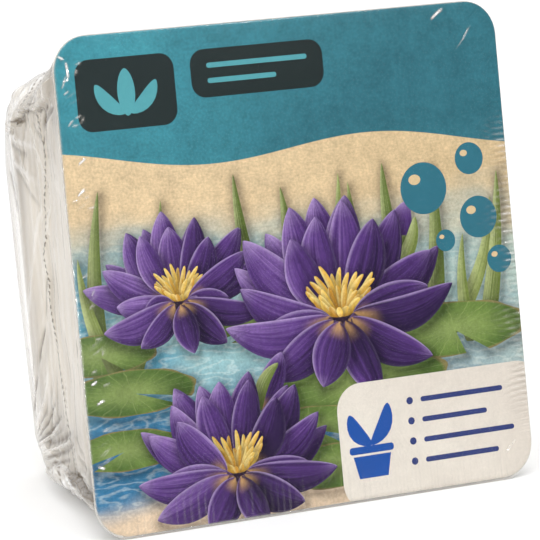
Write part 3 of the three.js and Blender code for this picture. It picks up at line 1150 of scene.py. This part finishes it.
def fold_sides(depth, flat, normal, values):
    """Adds the folds of the four sides and the bead of the weld, and gives the way to the weld."""
    seam = np.full(len(flat), FAR_FROM_WELD)
    for side, way in enumerate(SIDE_WAYS):
        share = np.clip(normal @ way, 0, 1) ** 2
        mine = np.flatnonzero(share > 0.001)
        share = share[mine]
        run = flat[mine, 1 if side in (RIGHT, LEFT) else 0]
        folds = side_folds(side, np.column_stack([depth[mine], run]))
        values[mine] += np.column_stack(folds) * share[:, None]
        if side == RIGHT:
            continue
        away = depth[mine] - seam_depth(side, run)
        values[mine, 0] += bell(away, 0.8) * (0.55 + 0.25 * np.sin(run * 2.6)) * share
        seam[mine] = np.where(np.abs(away) < np.abs(seam[mine]), away, seam[mine])
    return seam


def gather_corners(depth, normal, side_of, reach, turn, values):
    """Adds the drawn-together film of the four corners."""
    corner_radius = film_corner(depth)
    middle = film_half(depth) - corner_radius + corner_radius * math.pi / 4
    quarter = 2 * middle
    for corner in range(4):
        arc = (side_of - corner) * quarter + reach - middle
        arc = (arc + 2 * quarter) % (4 * quarter) - 2 * quarter
        mine = np.flatnonzero(np.abs(arc) < CORNER_REACH)
        drawn = gather(corner, depth[mine], arc[mine], middle[mine], turn[mine],
                       np.abs(normal[mine, 0]))
        values[mine] += np.column_stack(drawn)


def make_sleeve():
    """The film's four sides from the card's edge to the base: rings of points and their values."""
    depths = np.linspace(FILM_EDGE, FILM_BACK - FILM_BACK_ROUND, FILM_ROWS)
    rings = [film_ring(y, SIDE_COLUMNS, CORNER_COLUMNS) for y in depths]
    flat, normal, extras = (np.vstack(rows) for rows in zip(*rings))
    depth = np.repeat(depths, len(rings[0][0]))
    values = np.zeros((len(flat), 3))
    seam = fold_sides(depth, flat, normal, values)
    gather_corners(depth, normal, *extras.T, values)
    lift, milk_and_highlight, dark = values.T
    span = 1 - (np.minimum(np.abs(flat[:, 0]), np.abs(flat[:, 1])) / 80) ** 2
    lift = lift - SIDE_DRAW_IN * np.clip(span, 0, 1) * np.sin(math.pi * depth / FILM_BACK)
    free = np.interp(flat[:, 1], FREE_HEIGHTS, FREE_SHARES) * normal[:, 0] ** 2
    lift += SIDE_STAND_OFF * free * soft_step(depth, 25, 95)
    # Near the base, where the sides stand off the tub, the film is made milkier and given painted
    # shade, so that its edge shows as a grey-cream line.
    milk_and_highlight += 0.46 * free * soft_step(depth, 74, 94)
    dark += 0.24 * free * soft_step(depth, 82, 97)
    lift += np.clip(-normal[:, 1], 0, 1) ** 4 * UNDER_SAG
    # A painted highlight along the film where it turns round the card's edge.
    milk_and_highlight += edge_highlight(normal) * bell(depth, 1.4)
    moved = flat + normal * lift[:, None]
    moved[:, 1] = np.maximum(moved[:, 1], -(film_half(depth) + FILM_LOW_GAP))
    spots = np.column_stack([moved[:, 0], depth, moved[:, 1]])
    kept = np.column_stack([np.clip(milk_and_highlight, 0, 0.9), np.clip(dark, 0, 0.9), seam,
                            fan_rays(depth, flat)])
    return spots.reshape(FILM_ROWS, -1, 3), kept.reshape(FILM_ROWS, -1, KEPT_VALUES)


def make_back(last, last_values):
    """The film round the base's edge and drawn flat over the base: rings of points and values."""
    flat = last[:, [0, 2]]
    rings = []
    kept = []
    for turn in np.radians((30, 60, 90)):
        shrink = FILM_BACK_ROUND * (1 - math.cos(turn)) / film_half(FILM_BACK)
        y = FILM_BACK - FILM_BACK_ROUND * (1 - math.sin(turn))
        rings.append(np.insert(flat * (1 - shrink), 1, y, axis=1))
        values = np.tile(BASE_FILM, (len(last), 1))
        values[:, :2] += math.cos(turn) * last_values[:, :2]
        kept.append(values)
    rim = rings[-1][:, [0, 2]]
    pleats = waves(rim, 7)
    for share in BACK_SHARES:
        inner = rim * share
        values = np.tile(BASE_FILM, (len(last), 1))
        # Pleat ridges over the base get a painted highlight and their valleys painted shade.
        values[:, 0] += 0.16 * np.clip(pleats, 0, 1) * share ** 5
        values[:, 1] += 0.14 * np.clip(-pleats, 0, 1) * share ** 5
        dent = 0.28 + 0.1 * waves(inner, 30) * share - 0.2 * pleats * share ** 5
        rings.append(np.insert(inner, 1, FILM_BACK - np.clip(dent, 0.02, 0.6), axis=1))
        kept.append(values)
    return rings, kept


def edge_ripples(run, turn, inward, side):
    """Small wrinkles square to the card's edge, where the film is drawn round it.

    It gives their height, the painted highlight on their crests and the painted shade in their
    troughs. On the left they are short and slanting.
    """
    wobble = 0.8 * np.sin(run / 9.0 + side) + 0.5 * np.sin(run / 3.7 + 2 * side)
    patches = 0.55 + 0.45 * np.sin(run / 13.0 + 1.7 * side) * np.sin(run / 5.1)
    hold = bell(inward, 4)
    slant = 0.0
    if side == LEFT:
        slant = 0.5 * inward
        hold = bell(inward - 7, 2.3) * soft_step(np.sin(run / 3.1) + np.sin(run / 7.9), 0.3, 1.6)
    elif side == RIGHT:
        slant = 0.012 * inward ** 2
        patches = 0.4 + 0.6 * patches
        hold = bell(inward, 7 + 2 * np.sin(run / 6.1))
        hold = hold * soft_step(run, -88, -60) * (1 - soft_step(run, 36, 54))
    elif side == UNDER:
        hold = bell(inward, 15 + 6 * np.sin(run / 5.3))
    hold = hold * patches * min(inward / 0.8, 1) * (1 - np.sin(2 * turn))
    crest = np.sin((run + slant) * 2 * math.pi / RIPPLE_PITCHES[side] + wobble)
    # Painted highlight on the crests and painted shade in the troughs, to each side's strength.
    pale, dim = RIPPLE_HIGHLIGHT_AND_SHADE[side]
    milk_and_highlight = pale * hold * np.clip(crest, 0, 1) ** 3
    dark = dim * hold * np.clip(-crest, 0, 1) ** 2
    return RIPPLE_HEIGHTS[side] * hold * crest, milk_and_highlight, dark


def make_front():
    """The film over the card's face, from its edge inwards: rings of points and values."""
    outer, facing, extras = film_ring(FILM_EDGE, FRONT_COLUMNS, FRONT_CORNER_COLUMNS)
    side_of, reach, turn = extras.T
    half = film_half(FILM_EDGE)
    deepest = film_corner(FILM_EDGE) - 2
    dents = [(crumple.uniform(-94, -87), crumple.uniform(-88, 88)) for _ in range(18)]
    ways = [crumple.normal(0.5, 0.4) for _ in dents]
    downward = np.clip(-facing[:, 1], 0, 1) ** 4
    rings = []
    kept = []
    for inset in FRONT_INSETS:
        ring = outer - facing * min(inset, deepest)
        ring[:, 1] -= downward * UNDER_SAG * max(1 - inset, 0)
        if inset > deepest:
            ring = ring * (half - inset) / (half - deepest)
        y = np.full(len(ring), FILM_FRONT if inset > 0 else FILM_EDGE)
        values = np.tile(CARD_FILM, (len(outer), 1))
        values[:, 0] += edge_highlight(facing) * bell(inset, 0.6)
        for side in range(4):
            mine = side_of == side
            height, milk_and_highlight, dark = edge_ripples(reach[mine], turn[mine], inset, side)
            y[mine] += height
            values[mine, 0] += milk_and_highlight
            values[mine, 1] += dark
        # Small ridges near the left edge, each with a painted highlight along it.
        for (x, z), way in zip(dents, ways):
            half_run = 1.5 * np.array((math.cos(way), math.sin(way)))
            ridge = crease(ring, (x, z) - half_run, (x, z) + half_run, 0.5)
            y += 0.04 * ridge
            values[:, 0] += 0.3 * ridge
        # Painted glints, laid on as milky strokes.
        for start, end, strength in CARD_GLINTS:
            values[:, 0] += strength * crease(ring, start, end, 0.42)
        if inset > 0:
            y = np.minimum(y, -0.03)
        rings.append(np.insert(ring, 1, y, axis=1))
        kept.append(values)
    return rings, kept


def make_film():
    """The whole wrap: its sleeve with the back, and the sheet over the card."""
    sleeve_rings, sleeve_kept = make_sleeve()
    back_rings, back_kept = make_back(sleeve_rings[-1], sleeve_kept[-1])
    rings = [*sleeve_rings, *back_rings]
    numbers = np.arange(len(rings) * len(rings[0])).reshape(len(rings), -1)
    front_rings, front_kept = make_front()
    front_count = len(front_rings) * len(front_rings[0])
    front_numbers = numbers.size + np.arange(front_count).reshape(len(front_rings), -1)
    faces = [*skin_rings(numbers), numbers[-1][::-1].tolist(),
             *skin_rings(front_numbers[::-1]), front_numbers[-1].tolist()]
    film = make_piece("shrink_film", np.vstack([*rings, *front_rings]), faces,
                      [make_film_plastic()])
    values = np.vstack([*sleeve_kept, *back_kept, *front_kept])
    for name, column in zip(("milk_and_highlight", "dark", "seam"), values.T):
        keep(film.data, name, "FLOAT", column)
    keep(film.data, "fan", "FLOAT_VECTOR", values[:, 3:])
    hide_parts("film")
    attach(film, "root")


make_film()

# Floor and light
# A plain pale floor and soft studio light: one broad lamp overhead and in front, a weaker
# one from the left, and a small bright one that draws the glints on the film.
FLOOR_SIDE = 12.0
SKY_TENT = 1.35
SKY_WALL = 0.05
SKY_BACK = 0.9
SKY_WALL_TOP = 0.30
SKY_TENT_FOOT = 0.55


def make_floor():
    """A flat floor in matt pale paint."""
    half = FLOOR_SIDE / 2
    mesh = bpy.data.meshes.new("floor")
    mesh.from_pydata([(-half, -half, 0), (half, -half, 0), (half, half, 0), (-half, half, 0)],
                     [], [(0, 1, 2, 3)])
    paint = bpy.data.materials.new("floor_paint")
    paint.use_nodes = True
    shader = paint.node_tree.nodes["Principled BSDF"]
    shader.inputs["Base Color"].default_value = (0.90, 0.90, 0.90, 1)
    shader.inputs["Roughness"].default_value = 0.9
    shader.inputs["Specular IOR Level"].default_value = 0.1
    mesh.materials.append(paint)
    put("floor", mesh)


def make_lamp(name, place, width, height, power):
    lamp = bpy.data.lights.new(name, "AREA")
    lamp.shape = "RECTANGLE"
    lamp.size = width
    lamp.size_y = height
    lamp.energy = power
    holder = put(name, lamp)
    holder.location = place
    holder.rotation_euler = (VIEW_AIM - Vector(place)).to_track_quat("-Z", "Y").to_euler()


def make_sky():
    """A white tent overhead and a white wall behind and on the left. The wall in front is dim,
    so the flat film over the card has little to mirror."""
    world = bpy.data.worlds.new("studio")
    world.use_nodes = True
    tree = world.node_tree
    way = work_out(tree, "TexCoord", output="Generated")
    split = add_node(tree, "SeparateXYZ", way)
    across, away, height = (Field(tree, socket) for socket in split.outputs)
    behind = (away * 0.9 - across * 0.45).rise(-0.25, 0.35)
    wall = behind * (SKY_BACK - SKY_WALL) + SKY_WALL
    tent = height.rise(SKY_WALL_TOP, SKY_TENT_FOOT)
    strength = tent * SKY_TENT + (1 - tent) * wall
    tree.links.new(strength.socket, tree.nodes["Background"].inputs["Strength"])
    tree.nodes["Background"].inputs["Color"].default_value = (1, 1, 1, 1)
    bpy.context.scene.world = world


make_floor()
make_sky()
make_lamp("overhead", (-0.5, -0.9, 1.9), 1.3, 1.0, 9)
make_lamp("left", (-1.9, -0.3, 0.9), 0.9, 0.9, 4)
make_lamp("glint", (0.70, -1.46, 0.66), 0.10, 0.10, 4)
make_lamp("low_glint", (0.41, -1.64, 0.26), 0.08, 0.08, 2)
bpy.context.scene.view_settings.view_transform = "Standard"
